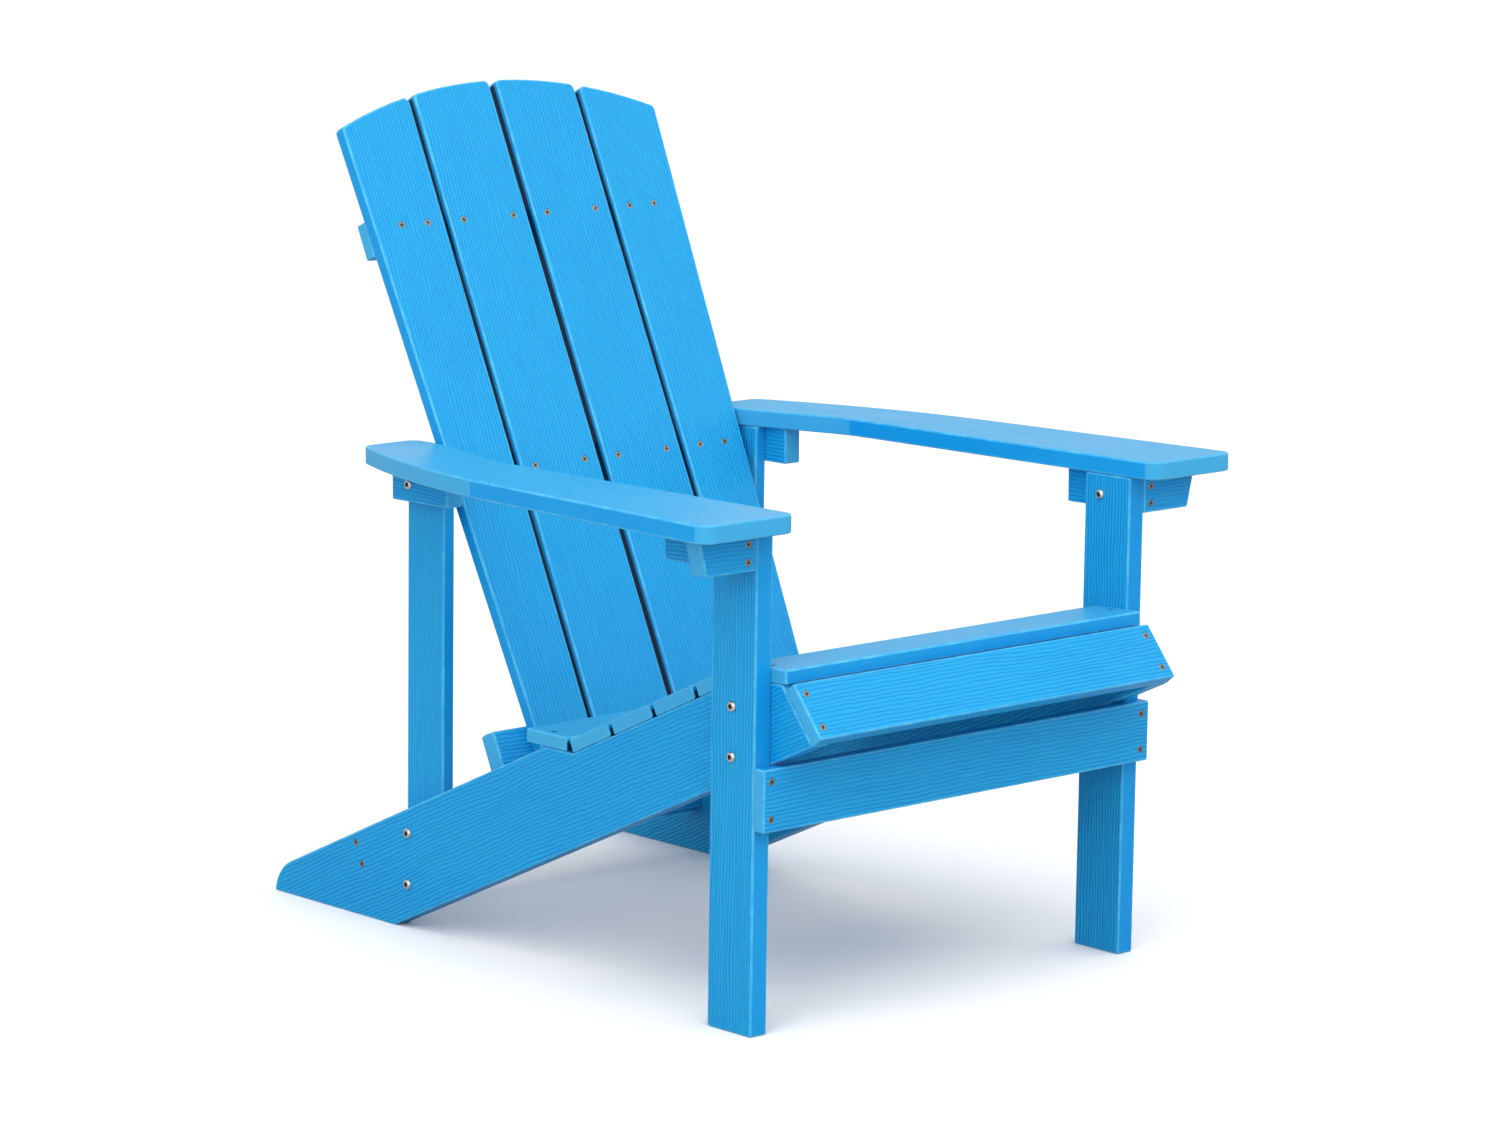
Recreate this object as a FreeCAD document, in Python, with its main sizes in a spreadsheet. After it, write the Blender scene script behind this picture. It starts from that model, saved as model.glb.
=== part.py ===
import FreeCAD, Part
import math
import os
import re
import Sketcher

# Adirondack chair in coloured poly lumber: 30 boards and the bolts and screws that hold them.
# Millimetres and degrees. +Z is up, the sitter faces -Y and +X is the sitter's left.
# The origin is on the floor, under the middle of the chair.

SIZES = {
    # board stock
    "frame_thick": 22, "slat_thick": 15, "arm_thick": 19, "board_width": 64, "brace_height": 39.5,
    # widths, each measured from the middle of the chair
    "seat_half": 252.5, "lower_rail_half": 240,
    # side rails, whose rear ends are the rear feet
    "incline": 25, "side_rail_width": 110, "seat_recess": 18.6, "foot_front": 225, "foot_rear": 433,
    "foot_lean": 4.5, "foot_round": 46, "side_rail_front": 421,
    # front legs and rear posts
    "leg_front": 361, "post_rear": 231, "post_width": 60, "post_bottom": 28,
    # seat, apron and stretchers
    "rear_slat_height": 235.7, "rear_slat_back": 9.5, "seat_gap": 6, "front_slat_tilt": 2.4,
    "apron_tilt": 39.3, "stretcher_top": 273.3, "rear_stretcher_y": 286, "rear_stretcher_z": 67.7,
    # back
    "recline": 25.6, "back_foot_y": 45.4, "back_foot_z": 201.4, "back_height": 754, "back_radius": 600,
    "middle_gap_half": 5, "inner_slat_edge": 113.5, "outer_slat_edge": 121.5, "back_half_low": 194,
    "back_flare": 2.25, "flare_height": 712, "slat_corner": 7, "lower_rail_low": 3.8, "arm_rail_low": 298.5,
    "batten_low": 569.5, "batten_height": 40,
    # arms, measured in the arms' own tilted plane from above the front legs
    "arm_height": 509.3, "arm_tilt": 0.83, "arm_front": 34.5, "arm_back": 605, "arm_corner": 16,
    "arm_inner_bend": 247.5, "arm_inner_bend_back": 420, "arm_inner_rear": 210, "arm_inner_rear_back": 560,
    "arm_outer_front": 376, "arm_outer_bend": 343.4, "arm_outer_bend_back": 452.6,
    "arm_outer_rear": 280.2, "arm_outer_round": 900, "arm_inner_round": 180,
    "side_block_length": 89, "bracket_foot": 66.5, "bracket_head": 76.5,
    "rear_bracket_front": 500.5, "rear_bracket_back": 592,
    # fasteners
    "bolt": 6, "bolt_head": 11.5, "bolt_head_height": 3, "nut_across": 10, "nut_height": 7,
    "screw": 4.2, "screw_head": 8.6, "screw_head_depth": 2.6, "bore_clearance": 0.2,
    # where the bolts cross the chair
    "leg_bolt_y": -328, "leg_bolt_high": 330, "leg_bolt_low": 279,
    "post_bolt_y": 202.5, "post_bolt_high": 104.3, "post_bolt_low": 48.5,
    "bracket_bolt_y": 202.6, "bracket_bolt_z": 480.5, "block_bolt_y": -318.6, "block_bolt_z": 486.4,
    # where the screws stand: from a board's edge, or from the middle of the chair
    "screw_edge": 13, "rear_stretcher_edge": 8, "bracket_screw_edge": 12, "bracket_screw_gap": 18,
    "bracket_arm_screw_x": 330, "bracket_arm_screw_back": 11, "block_arm_screw_back": 96,
    "rear_arm_screw_back": 516, "slat_screw_a": 24, "slat_screw_b": 94, "slat_screw_c": 144,
    "slat_screw_d": 180, "upper_row": 598, "middle_row": 318, "lower_row": 23,
    # how far each screw or bolt goes past the first board
    "arm_bite": 14, "bracket_bite": 22, "seat_bite": 25, "apron_bite": 30, "stretcher_bite": 28,
    "batten_bite": 12, "back_rail_bite": 19, "lower_rail_bite": 25, "bracket_bolt_bite": 30,
    "block_bolt_short": 4, "nut_overlap": 0.5,
}
SIDES = {"right": -1, "left": 1}

doc = FreeCAD.newDocument("AdirondackChair")
sheet = doc.addObject("Spreadsheet::Sheet", "Sizes")
for row, (alias, number) in enumerate(SIZES.items(), start=1):
    sheet.set(f"A{row}", alias)
    sheet.set(f"B{row}", str(number))
    sheet.setAlias(f"B{row}", alias)
doc.recompute()


# formulas, placements and outlines

def bound(formula):
    """Turn the aliases in a formula into references to the sheet."""
    def reference(word):
        return "Sizes." + word[0] if word[0] in SIZES else word[0]
    return re.sub(r"[a-z][a-z_]+", reference, formula)


def value(formula):
    """The number that a formula gives at the present sizes."""
    result = sheet.evalExpression(bound(formula))
    return float(getattr(result, "Value", result))


def frame_at(x, y, z, tilt="0"):
    """A local frame, turned about the X axis only, as four formulas."""
    return {"x": x, "y": y, "z": z, "tilt": tilt}


def placement(frame):
    turn = FreeCAD.Rotation(FreeCAD.Vector(1, 0, 0), value(frame["tilt"]))
    return FreeCAD.Placement(FreeCAD.Vector(*(value(frame[axis]) for axis in "xyz")), turn)


def place(body, frame):
    body.Placement = placement(frame)
    for axis in "xyz":
        body.setExpression(f".Placement.Base.{axis}", bound(frame[axis]))
    if frame["tilt"] != "0":
        body.setExpression(".Placement.Rotation.Angle", bound(frame["tilt"]))


def outline_sketch(body, plane, corners, crowned):
    """A closed outline with every corner bound to the sheet. A crowned edge is an arc of that radius."""
    sketch = body.newObject("Sketcher::SketchObject", body.Name + "_outline")
    support = next(item for item in body.Origin.OriginFeatures if item.Role == plane)
    sketch.AttachmentSupport = (support, "")
    sketch.MapMode = "FlatFace"
    points = [FreeCAD.Vector(value(across), value(up), 0) for across, up in corners]
    for index, start in enumerate(points):
        end = points[(index + 1) % len(points)]
        if index in crowned:
            radius = value(crowned[index])
            rise = radius - math.sqrt(radius ** 2 - (end - start).Length ** 2 / 4)
            outward = FreeCAD.Vector(end.y - start.y, start.x - end.x, 0).normalize()
            sketch.addGeometry(Part.Arc(start, (start + end) / 2 + outward * rise, end), False)
        else:
            sketch.addGeometry(Part.LineSegment(start, end), False)
    for index, (across, up) in enumerate(corners):
        before = index - 1 if index else len(corners) - 1
        own = nearest_end(sketch, index, points[index])
        sketch.addConstraint(Sketcher.Constraint(
            "Coincident", before, nearest_end(sketch, before, points[index]), index, own))
        for direction, formula in (("DistanceX", across), ("DistanceY", up)):
            number = sketch.addConstraint(Sketcher.Constraint(direction, -1, 1, index, own, value(formula)))
            sketch.renameConstraint(number, f"{direction}_{index}")
            sketch.setExpression(f"Constraints.{direction}_{index}", bound(formula))
    for index, formula in crowned.items():
        number = sketch.addConstraint(Sketcher.Constraint("Radius", index, value(formula)))
        sketch.renameConstraint(number, f"Radius_{index}")
        sketch.setExpression(f"Constraints.Radius_{index}", bound(formula))
    return sketch


def nearest_end(sketch, index, point):
    first, second = (sketch.getPoint(index, end) for end in (1, 2))
    return 1 if (first - point).Length < (second - point).Length else 2


def corner_edge(sketch, feature, corner):
    """The padded board's edge that stands on a corner of its outline."""
    to_sketch = sketch.Placement.inverse()
    for number, edge in enumerate(feature.Shape.Edges, start=1):
        ends = [to_sketch.multVec(vertex.Point) for vertex in edge.Vertexes]
        if all(math.hypot(end.x - corner[0], end.y - corner[1]) < 0.01 for end in ends):
            return f"Edge{number}"
    raise ValueError(f"{sketch.Name} has no edge on {corner}")


# boards

blanks = {}


def board(name, plane, corners, thick, frame, crowned=None, rounds=None):
    """A board: an outline padded by its thickness, with some of its corners rounded."""
    body = doc.addObject("PartDesign::Body", name + "_blank")
    sketch = outline_sketch(body, plane, corners, crowned or {})
    pad = body.newObject("PartDesign::Pad", name + "_pad")
    pad.Profile = sketch
    pad.setExpression("Length", bound(thick))
    doc.recompute()
    for index, radius in (rounds or {}).items():
        corner = [value(formula) for formula in corners[index]]
        solid = body.Tip
        fillet = body.newObject("PartDesign::Fillet", f"{name}_round_{index}")
        fillet.Base = (solid, [corner_edge(sketch, solid, corner)])
        fillet.setExpression("Radius", bound(radius))
        doc.recompute()
    place(body, frame)
    blanks[name] = body


def rectangle(low_x, low_y, high_x, high_y):
    return [(low_x, low_y), (high_x, low_y), (high_x, high_y), (low_x, high_y)]


# Upright boards and side rails are outlined from the side, (y, z), and padded towards +X.
TOP_AT = "(arm_height - (leg_front + {y}) * tan(arm_tilt))"
RAIL_UNDER = "((foot_front - {y}) * tan(incline))"
SEAT_RISE = "((side_rail_width - seat_recess) / cos(incline))"
SEAT_START = f"(foot_front - (rear_slat_height - {SEAT_RISE}) / tan(incline))"
SEAT_PITCH = "(board_width + seat_gap)"
LAST_SLAT_Y = f"({SEAT_START} - 4 * {SEAT_PITCH} * cos(incline))"
LAST_SLAT_Z = f"(rear_slat_height + 4 * {SEAT_PITCH} * sin(incline))"
APRON_FOOT_Z = RAIL_UNDER.format(y="(-side_rail_front)")
RAIL_PEAK = "(foot_front - (rear_slat_height - side_rail_width / cos(incline)) / tan(incline))"


def upright(front, back, bottom):
    return [(front, bottom), (back, bottom), (back, TOP_AT.format(y=back)), (front, TOP_AT.format(y=front))]


def side_rail_outline():
    """Foot, underside, slanted front end for the apron, seat line, step up to full width, foot tip."""
    run = f"({LAST_SLAT_Y} + side_rail_front - ({LAST_SLAT_Z} - {APRON_FOOT_Z}) * tan(apron_tilt))"
    rise = f"({run} * sin(front_slat_tilt) * cos(apron_tilt) / cos(apron_tilt - front_slat_tilt))"
    front_z = f"({LAST_SLAT_Z} + {rise})"
    front_y = f"(-side_rail_front + ({front_z} - {APRON_FOOT_Z}) * tan(apron_tilt))"
    foot_top = "(foot_front - (foot_rear - foot_lean)) * tan(incline) + side_rail_width / cos(incline)"
    return [
        ("foot_rear", "0"),
        ("foot_rear - foot_lean", foot_top),
        (RAIL_PEAK, "rear_slat_height"),
        (SEAT_START, "rear_slat_height"),
        (LAST_SLAT_Y, LAST_SLAT_Z),
        (front_y, front_z),
        ("-side_rail_front", APRON_FOOT_Z),
        ("foot_front", "0"),
    ]


for side, sign in SIDES.items():
    outer = "seat_half" if sign > 0 else "-seat_half - frame_thick"
    inner = "seat_half - frame_thick" if sign > 0 else "-seat_half"
    post = "seat_half - frame_thick - slat_thick" if sign > 0 else "-seat_half + frame_thick"
    board(f"front_leg_{side}", "YZ_Plane", upright("-leg_front", "-leg_front + board_width", "0"),
          "frame_thick", frame_at(outer, "0", "0"))
    board(f"side_rail_{side}", "YZ_Plane", side_rail_outline(), "frame_thick", frame_at(inner, "0", "0"),
          rounds={1: "foot_round"})
    board(f"rear_post_{side}", "YZ_Plane", upright("post_rear - post_width", "post_rear", "post_bottom"),
          "slat_thick", frame_at(post, "0", "0"))

# Arms and what holds them up lie in one plane, tilted down towards the back.
ARM_TILT = "-arm_tilt"
arm_plane = frame_at("0", "-leg_front", "arm_height", ARM_TILT)
under_arm = frame_at("0", "-leg_front - brace_height * sin(arm_tilt)",
                     "arm_height - brace_height * cos(arm_tilt)", ARM_TILT)


def mirrored(corners, sign):
    """The left-hand outline, or its mirror image, always running the same way round."""
    if sign > 0:
        return corners
    return [(f"-({across})", up) for across, up in reversed(corners)]


# the arm's outline, and how far each of its corners is rounded
ARM_OUTLINE = [
    ("seat_half", "-arm_front"), ("arm_outer_front", "-arm_front"),
    ("arm_outer_bend", "arm_outer_bend_back"), ("arm_outer_rear", "arm_back"),
    ("arm_inner_rear", "arm_back"), ("arm_inner_rear", "arm_inner_rear_back"),
    ("arm_inner_bend", "arm_inner_bend_back"),
]
ARM_ROUNDS = ["arm_corner", "arm_corner", "arm_outer_round", "arm_corner",
              "arm_corner", "arm_inner_round", "arm_inner_round"]
LEG_FACE = "(seat_half + frame_thick)"
SIDE_BLOCK_BACK = "(frame_thick + side_block_length)"
for side, sign in SIDES.items():
    rounds = ARM_ROUNDS if sign > 0 else ARM_ROUNDS[::-1]
    board(f"arm_{side}", "XY_Plane", mirrored(ARM_OUTLINE, sign), "arm_thick", arm_plane,
          rounds=dict(enumerate(rounds)))
    block = rectangle(LEG_FACE, "frame_thick", f"{LEG_FACE} + frame_thick", SIDE_BLOCK_BACK)
    board(f"side_block_{side}", "XY_Plane", mirrored(block, sign), "brace_height", under_arm)
    # outlined from the front, (x, z), and padded towards the front
    slanted = [(LEG_FACE, "0"), (f"{LEG_FACE} + bracket_foot", "0"),
               (f"{LEG_FACE} + bracket_head", "brace_height"), (LEG_FACE, "brace_height")]
    bracket_frame = frame_at("0", "-leg_front + frame_thick * cos(arm_tilt) - brace_height * sin(arm_tilt)",
                             "arm_height - brace_height * cos(arm_tilt) - frame_thick * sin(arm_tilt)",
                             ARM_TILT)
    board(f"front_bracket_{side}", "XZ_Plane", mirrored(slanted, sign), "frame_thick", bracket_frame)
    bracket = rectangle("seat_half - frame_thick", "rear_bracket_front", "seat_half", "rear_bracket_back")
    board(f"rear_bracket_{side}", "XY_Plane", mirrored(bracket, sign), "brace_height", under_arm)


# Seat slats run across the chair on the side rails' top edges, each in a frame at its rear lower edge.
def seat_frame(number):
    """Slat 1 is level at the rear, 2 to 5 follow the incline and 6 is nearly level at the front."""
    if number == 1:
        return frame_at("0", "rear_slat_back", "rear_slat_height")
    if number == 6:
        return frame_at("0", LAST_SLAT_Y, LAST_SLAT_Z, "-front_slat_tilt")
    along = f"{number - 2} * {SEAT_PITCH}"
    return frame_at("0", f"{SEAT_START} - {along} * cos(incline)",
                    f"rear_slat_height + {along} * sin(incline)", "-incline")


for number in range(1, 7):
    board(f"seat_slat_{number}", "XY_Plane", rectangle("-seat_half", "-board_width", "seat_half", "0"),
          "slat_thick", seat_frame(number))

# outlined from the front, (x, z), and padded towards the front
apron_frame = frame_at("0", "-side_rail_front", APRON_FOOT_Z, "-apron_tilt")
board("apron", "XZ_Plane", rectangle("-seat_half", "0", "seat_half", "board_width"),
      "slat_thick", apron_frame)
board("front_stretcher", "XZ_Plane",
      rectangle(f"-{LEG_FACE}", "stretcher_top - board_width", LEG_FACE, "stretcher_top"),
      "slat_thick", frame_at("0", "-leg_front", "0"))
rear_stretcher_frame = frame_at("0", "rear_stretcher_y + frame_thick / 2 * cos(incline)",
                                "rear_stretcher_z - frame_thick / 2 * sin(incline)", "-incline")
board("rear_stretcher", "XZ_Plane",
      rectangle("-seat_half + frame_thick", "-batten_height / 2",
                "seat_half - frame_thick", "batten_height / 2"),
      "frame_thick", rear_stretcher_frame)


# The back is drawn in its own plane, x across and y up the slats, with the slats' front faces at z = 0.
RECLINE_TURN = "90 - recline"


def back_frame(depth):
    """A plane that many millimetres behind the slats' front faces."""
    return frame_at("0", f"back_foot_y + ({depth}) * cos(recline)",
                    f"back_foot_z - ({depth}) * sin(recline)", RECLINE_TURN)


ARC_LOW = "(back_height - back_radius)"


def crown(across):
    return f"({ARC_LOW} + sqrt(back_radius * back_radius - ({across}) * ({across})))"


FLARED_TOP = "(back_half_low + flare_height * tan(back_flare))"
inner_slat = [
    ("middle_gap_half", "0"),
    ("inner_slat_edge", "0"),
    ("inner_slat_edge", crown("inner_slat_edge")),
    ("middle_gap_half", crown("middle_gap_half")),
]
outer_slat = [
    ("outer_slat_edge", "0"),
    ("back_half_low", "0"),
    (FLARED_TOP, crown(FLARED_TOP)),
    ("outer_slat_edge", crown("outer_slat_edge")),
]
slats = {"back_slat_1": (outer_slat, -1), "back_slat_2": (inner_slat, -1),
         "back_slat_3": (inner_slat, 1), "back_slat_4": (outer_slat, 1)}
for name, (corners, sign) in slats.items():
    top_edge = 2 if sign > 0 else 0
    outline = mirrored(corners, sign)
    tops = [index for index, (_, up) in enumerate(outline) if up != "0"]
    board(name, "XY_Plane", outline, "slat_thick", back_frame("slat_thick"),
          crowned={top_edge: "back_radius"}, rounds={index: "slat_corner" for index in tops})

POST_INNER = "(seat_half - frame_thick - slat_thick)"
BATTEN_HALF = "(back_half_low + batten_low * tan(back_flare))"
back_rails = {
    "back_lower_rail": ("lower_rail_half", "lower_rail_low", "brace_height", "frame_thick"),
    "back_arm_rail": (POST_INNER, "arm_rail_low", "brace_height", "frame_thick"),
    "back_batten": (BATTEN_HALF, "batten_low", "batten_height", "slat_thick"),
}
for name, (half, low, height, thick) in back_rails.items():
    board(name, "XY_Plane", rectangle(f"-{half}", low, half, f"{low} + {height}"), thick,
          back_frame(f"slat_thick + {thick}"))


# fasteners: each is turned about its own axis, from its head at the origin down to -Z

def turned(profile, grow):
    """A solid of revolution. Grown, it is the bore that the fastener needs."""
    points = [FreeCAD.Vector(radius + grow if radius else 0, 0, height) for radius, height in profile]
    points[0].z += grow
    points[-1].z -= grow
    face = Part.Face(Part.makePolygon(points + [points[0]]))
    return face.revolve(FreeCAD.Vector(0, 0, 0), FreeCAD.Vector(0, 0, 1), 360)


def bolt_profile(length):
    head, shank, height = value("bolt_head / 2"), value("bolt / 2"), value("bolt_head_height")
    flat, shoulder = head * 0.7, height * 0.35
    return [(0, height), (flat, height), (head, shoulder), (head, 0), (shank, 0), (shank, -length), (0, -length)]


def screw_profile(length):
    head, shank, depth = value("screw_head / 2"), value("screw / 2"), value("screw_head_depth")
    tip = length - shank * 2
    return [(0, 0), (head, 0), (shank, -depth), (shank, -tip), (0, -length)]


def cap_nut():
    """A hexagonal cap nut, open at the origin and closed at +Z, for the end of a bolt."""
    across, height = value("nut_across"), value("nut_height")
    reach = across / math.sqrt(3)
    turns = [math.radians(60 * step) for step in range(7)]
    hexagon = Part.makePolygon([FreeCAD.Vector(reach * math.cos(a), reach * math.sin(a), 0) for a in turns])
    prism = Part.Face(hexagon).extrude(FreeCAD.Vector(0, 0, height * 0.7))
    dome = Part.makeSphere(across / 2, FreeCAD.Vector(0, 0, height * 0.7))
    bore = Part.makeCylinder(value("bolt / 2 + bore_clearance"), height + 0.5)
    floor = Part.makeBox(40, 40, 40, FreeCAD.Vector(-20, -20, -40))
    return prism.fuse(dome.cut(floor)).cut(bore)


def aimed(point, direction):
    """A placement that sends a fastener's shank along a direction."""
    return FreeCAD.Placement(FreeCAD.Vector(*point), FreeCAD.Rotation(FreeCAD.Vector(0, 0, -1),
                                                                     FreeCAD.Vector(*direction)))


def compound(name, solid, places):
    feature = doc.addObject("Part::Feature", name)
    feature.Shape = Part.makeCompound([solid.transformed(at.toMatrix()) for at in places])
    return feature


bores = {}


def fasten(name, profile, places):
    """A node of identical fasteners, and the bores for them."""
    compound(name, turned(profile, 0), places)
    bores[name] = compound(name + "_bores", turned(profile, value("bore_clearance")), places)


def both_sides(points, direction):
    """The same fastener on both sides of the chair: points and direction are given for +X."""
    places = []
    for sign in SIDES.values():
        turn = (sign * direction[0], direction[1], direction[2])
        places += [aimed((sign * across, y, z), turn) for across, y, z in points]
    return places


def within(frame, places):
    return [placement(frame).multiply(at) for at in places]


seat_half, frame_thick, slat_thick = (value(word) for word in ("seat_half", "frame_thick", "slat_thick"))
leg_face, rail_inner = seat_half + frame_thick, seat_half - frame_thick
rail_middle = seat_half - frame_thick / 2
inwards, outwards, rearwards = (-1, 0, 0), (1, 0, 0), (0, 1, 0)
upwards, downwards = (0, 0, 1), (0, 0, -1)
nut_room = value("nut_height - nut_overlap")


def spots(*formulas):
    """Points (y, z) from pairs of formulas."""
    return [(value(y), value(z)) for y, z in formulas]


# bolts that run across the chair, with a cap nut on each end that comes through
leg_bolts = spots(("leg_bolt_y", "leg_bolt_high"), ("leg_bolt_y", "leg_bolt_low"))
post_bolts = spots(("post_bolt_y", "post_bolt_high"), ("post_bolt_y", "post_bolt_low"))
bracket_bolts = spots(("bracket_bolt_y", "bracket_bolt_z"))
block_bolts = spots(("block_bolt_y", "block_bolt_z"))
fasten("leg_bolts", bolt_profile(2 * frame_thick + nut_room),
       both_sides([(leg_face, y, z) for y, z in leg_bolts], inwards))
compound("leg_bolt_nuts", cap_nut(), both_sides([(rail_inner, y, z) for y, z in leg_bolts], outwards))
fasten("post_bolts", bolt_profile(frame_thick + slat_thick + nut_room),
       both_sides([(seat_half, y, z) for y, z in post_bolts], inwards))
compound("post_bolt_nuts", cap_nut(),
         both_sides([(rail_inner - slat_thick, y, z) for y, z in post_bolts], outwards))
fasten("rear_bracket_bolts", bolt_profile(frame_thick + slat_thick + value("bracket_bolt_bite")),
       both_sides([(seat_half, y, z) for y, z in bracket_bolts], inwards))
fasten("side_block_bolts", bolt_profile(2 * frame_thick - value("block_bolt_short")),
       both_sides([(seat_half, y, z) for y, z in block_bolts], outwards))

# screws up through the blocks and brackets into the arms
under = -value("brace_height")
block_middle = leg_face + frame_thick / 2
arm_screws = [
    (value("bracket_arm_screw_x"), value("bracket_arm_screw_back"), under),
    (block_middle, value("block_arm_screw_back"), under),
    (rail_middle, value("rear_arm_screw_back"), under),
]
fasten("arm_screws", screw_profile(value("brace_height + arm_bite")),
       within(arm_plane, both_sides(arm_screws, upwards)))
bracket_screws = spots(("0", "-bracket_screw_edge"), ("0", "-bracket_screw_edge - bracket_screw_gap"))
fasten("front_bracket_screws", screw_profile(value("frame_thick + bracket_bite")),
       within(arm_plane, both_sides([(block_middle, y, z) for y, z in bracket_screws], rearwards)))

# screws through the seat slats, apron and stretchers
seat_screws = []
for number in range(1, 7):
    middle = [(rail_middle, -value("board_width / 2"), slat_thick)]
    seat_screws += within(seat_frame(number), both_sides(middle, downwards))
fasten("seat_slat_screws", screw_profile(value("slat_thick + seat_bite")), seat_screws)
rows = (value("screw_edge"), value("board_width - screw_edge"))
fasten("apron_screws", screw_profile(value("slat_thick + apron_bite")),
       within(apron_frame, both_sides([(rail_middle, -slat_thick, up) for up in rows], rearwards)))
stretcher_face, stretcher_top = value("-leg_front - slat_thick"), value("stretcher_top")
stretcher_screws = [(leg_face - frame_thick / 2, stretcher_face, stretcher_top - down) for down in rows]
fasten("front_stretcher_screws", screw_profile(value("slat_thick + stretcher_bite")),
       both_sides(stretcher_screws, rearwards))
rear_row = value("batten_height / 2 - rear_stretcher_edge")
rear_screws = [(seat_half, -frame_thick / 2, up) for up in (-rear_row, rear_row)]
fasten("rear_stretcher_screws", screw_profile(value("frame_thick + stretcher_bite")),
       within(rear_stretcher_frame, both_sides(rear_screws, inwards)))

# screws through the back slats, at the batten and the two rails
BACK_ROWS = {
    "upper": ("upper_row", "slat_thick + batten_bite"),
    "middle": ("middle_row", "slat_thick + back_rail_bite"),
    "lower": ("lower_row", "slat_thick + back_rail_bite"),
}
slat_screws = [value(word) for word in ("slat_screw_a", "slat_screw_b", "slat_screw_c", "slat_screw_d")]
for row, (up, length) in BACK_ROWS.items():
    row_screws = [(across, value(up), 0) for across in slat_screws]
    fasten(f"back_slat_screws_{row}", screw_profile(value(length)),
           within(back_frame("0"), both_sides(row_screws, downwards)))
rail_top = value("lower_rail_low + brace_height")
rail_end = (value("lower_rail_half") + rail_inner) / 2
fasten("lower_rail_screws", screw_profile(value("brace_height + lower_rail_bite")),
       within(back_frame("slat_thick + frame_thick / 2"),
              both_sides([(rail_end, rail_top, 0)], (0, -1, 0))))

# Each blank is drilled for the fasteners that enter it.
DRILLED_FOR = {
    "front_leg": ["leg_bolts", "side_block_bolts", "front_stretcher_screws"],
    "side_rail": ["leg_bolts", "post_bolts", "rear_stretcher_screws", "seat_slat_screws", "apron_screws",
                  "lower_rail_screws"],
    "rear_post": ["post_bolts", "rear_bracket_bolts"],
    "arm": ["arm_screws"],
    "side_block": ["side_block_bolts", "front_bracket_screws", "arm_screws"],
    "front_bracket": ["front_bracket_screws", "arm_screws"],
    "rear_bracket": ["rear_bracket_bolts", "arm_screws"],
    "seat_slat": ["seat_slat_screws"],
    "apron": ["apron_screws"],
    "front_stretcher": ["front_stretcher_screws"],
    "rear_stretcher": ["rear_stretcher_screws"],
    "back_slat": ["back_slat_screws_upper", "back_slat_screws_middle", "back_slat_screws_lower"],
    "back_batten": ["back_slat_screws_upper"],
    "back_arm_rail": ["back_slat_screws_middle", "rear_bracket_bolts"],
    "back_lower_rail": ["back_slat_screws_lower", "lower_rail_screws"],
}
nodes = [feature for feature in doc.Objects
         if feature.TypeId == "Part::Feature" and not feature.Name.endswith("_bores")]
for name, blank in blanks.items():
    family = re.sub(r"_(right|left|\d)$", "", name)
    tool = doc.addObject("Part::Compound", name + "_drills")
    tool.Links = [bores[group] for group in DRILLED_FOR[family]]
    drilled = doc.addObject("Part::Cut", name)
    drilled.Base = blank
    drilled.Tool = tool
    nodes.append(drilled)
doc.recompute()

for item in doc.Objects:
    if "Invalid" in item.State or "Error" in item.State:
        raise RuntimeError(f"{item.Name} did not compute: {item.State}")
os.makedirs("parts", exist_ok=True)
for node in nodes:
    node.Label = node.Name
    if node.Shape.isNull() or not node.Shape.isValid():
        raise RuntimeError(f"{node.Name} has no valid shape")
    if node.Name in blanks and node.Shape.Volume >= blanks[node.Name].Shape.Volume:
        raise RuntimeError(f"{node.Name} was not drilled")
    node.Shape.exportStep(f"parts/{node.Name}.step")
print(len(nodes), "nodes written")
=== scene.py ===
import math
import random

import bmesh
import bpy
from mathutils import Matrix, Vector


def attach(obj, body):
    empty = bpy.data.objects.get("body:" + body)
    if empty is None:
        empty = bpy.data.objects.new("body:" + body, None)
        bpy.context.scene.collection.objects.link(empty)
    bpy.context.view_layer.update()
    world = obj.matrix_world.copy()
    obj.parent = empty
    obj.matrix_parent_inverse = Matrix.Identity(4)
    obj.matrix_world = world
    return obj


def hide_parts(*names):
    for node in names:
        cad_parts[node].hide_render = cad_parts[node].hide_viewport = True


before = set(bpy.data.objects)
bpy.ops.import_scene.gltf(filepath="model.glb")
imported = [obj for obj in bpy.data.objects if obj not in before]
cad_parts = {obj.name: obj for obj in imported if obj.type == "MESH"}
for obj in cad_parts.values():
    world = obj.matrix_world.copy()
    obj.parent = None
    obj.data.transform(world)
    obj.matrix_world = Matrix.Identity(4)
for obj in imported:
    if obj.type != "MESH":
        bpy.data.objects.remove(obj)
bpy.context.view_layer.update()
print("frame:", len(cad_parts), "nodes")

# camera, floor and light

cameraSetup = {
    "place": (-3.8086, -4.1676, 1.4015),
    "aim": (-0.0624, -0.1222, 0.4215),
    "roll": 0.79,
    "lens": 130.0,
    "sensorWidth": 36.0,
    "clipEnd": 200.0,
}


def looking(place, aim):
    turn = (Vector(aim) - Vector(place)).to_track_quat("-Z", "Y").to_matrix().to_4x4()
    return Matrix.Translation(place) @ turn


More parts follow.
